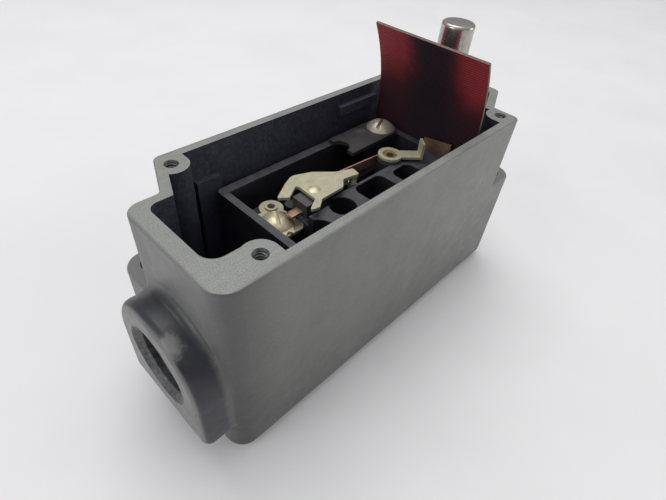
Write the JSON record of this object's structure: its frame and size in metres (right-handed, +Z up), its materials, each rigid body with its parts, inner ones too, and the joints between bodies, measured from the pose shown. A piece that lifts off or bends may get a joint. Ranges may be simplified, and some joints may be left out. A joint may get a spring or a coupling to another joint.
{
  "type": "limit switch",
  "caption": "Open box-shaped limit switch: cast housing with conduit hub, lever shaft, contact base, insulating liner; cover and lever off.",
  "frame": {"origin": "centre of the flat mounting face (the underside of the housing)", "axes": "+X along the box, away from the conduit hub; +Y from the front wall to the back wall; +Z up, out of the open top"},
  "size_m": [0.14, 0.0508, 0.0928],
  "materials": {
    "casting": "grey machine lacquer, satin",
    "bronze_bush": "plain bearing bronze",
    "shaft_steel": "ground steel, satin",
    "washer_steel": "stamped steel",
    "ring_steel": "black spring steel",
    "crank_steel": "machined steel",
    "pin_steel": "ground steel",
    "roller_steel": "hardened steel",
    "spring_steel": "spring wire",
    "phenolic": "black moulded phenolic",
    "screw_bronze": "plated screw, domed",
    "strap_black": "black strap",
    "bar_phenolic": "brown-black phenolic",
    "brass_post": "turned brass",
    "rocker_phenolic": "dark grey phenolic",
    "stamping": "pale yellow plated brass",
    "silver": "silver contact",
    "copper": "bare copper",
    "terminal_brass": "bright brass",
    "far_bronze": "dull bronze",
    "liner_fibre": "crimson ribbed fibre sheet"
  },
  "bodies": {
    "housing": {"housing": "casting", "shaft_bushing": "bronze_bush", "thrust_washer": "washer_steel", "switch_base": "phenolic", "base_screws": "screw_bronze", "hold_down_strap": "strap_black", "rocker_post": "brass_post", "closed_contact": "silver", "contact_leaf": "copper", "open_contact": "silver", "near_terminal": "terminal_brass", "terminal_clamp": "terminal_brass", "far_leaf": "far_bronze", "terminal_screw": "screw_bronze", "ring_terminal": "stamping", "ring_stud": "brass_post", "shaft_return_spring": "spring_steel", "rocker_spring": "spring_steel"},
    "lever": {"lever_shaft": "shaft_steel", "retaining_ring": "ring_steel", "crank": "crank_steel", "crank_cross_pin": "pin_steel", "roller_pin": "pin_steel"},
    "roller": {"crank_roller": "roller_steel"},
    "bar": {"push_bar": "bar_phenolic"},
    "rocker": {"contact_rocker": "rocker_phenolic", "contact_arm": "stamping", "arm_rivet": "stamping", "moving_contacts": "silver", "moving_finger": "copper"},
    "liner": {"insulating_liner": "liner_fibre"}
  },
  "joints": [
    {"name": "lever_turn", "type": "hinge", "parent": "housing", "child": "lever", "pos_m": [0.0424, 0, 0], "axis": [0, 0, 1], "range_deg": [0, 15], "stiffness_Nm_per_rad": 0.5, "springref_deg": -20.05, "deforming": ["shaft_return_spring"]},
    {"name": "roller_spin", "type": "hinge", "parent": "lever", "child": "roller", "pos_m": [0.0424, 0.0085, 0], "axis": [0, 0, 1], "continuous": true},
    {"name": "bar_slide", "type": "slide", "parent": "housing", "child": "bar", "axis": [-1, 0, 0], "range_m": [0, 0.0023]},
    {"name": "rocker_swing", "type": "hinge", "parent": "housing", "child": "rocker", "pos_m": [-0.0175, -0.0009, 0], "axis": [0, 0, 1], "range_deg": [0, 14], "stiffness_Nm_per_rad": 0.02, "springref_deg": -11.46, "deforming": ["rocker_spring"]},
    {"name": "liner_lift", "type": "slide", "parent": "housing", "child": "liner", "axis": [0, 0, 1], "range_m": [0, 0.02]}
  ],
  "couplings": [
    {"joint": "bar_slide", "follows": "lever_turn", "m_per_rad": 0.0085},
    {"joint": "rocker_swing", "follows": "lever_turn", "ratio": 0.90426}
  ]
}
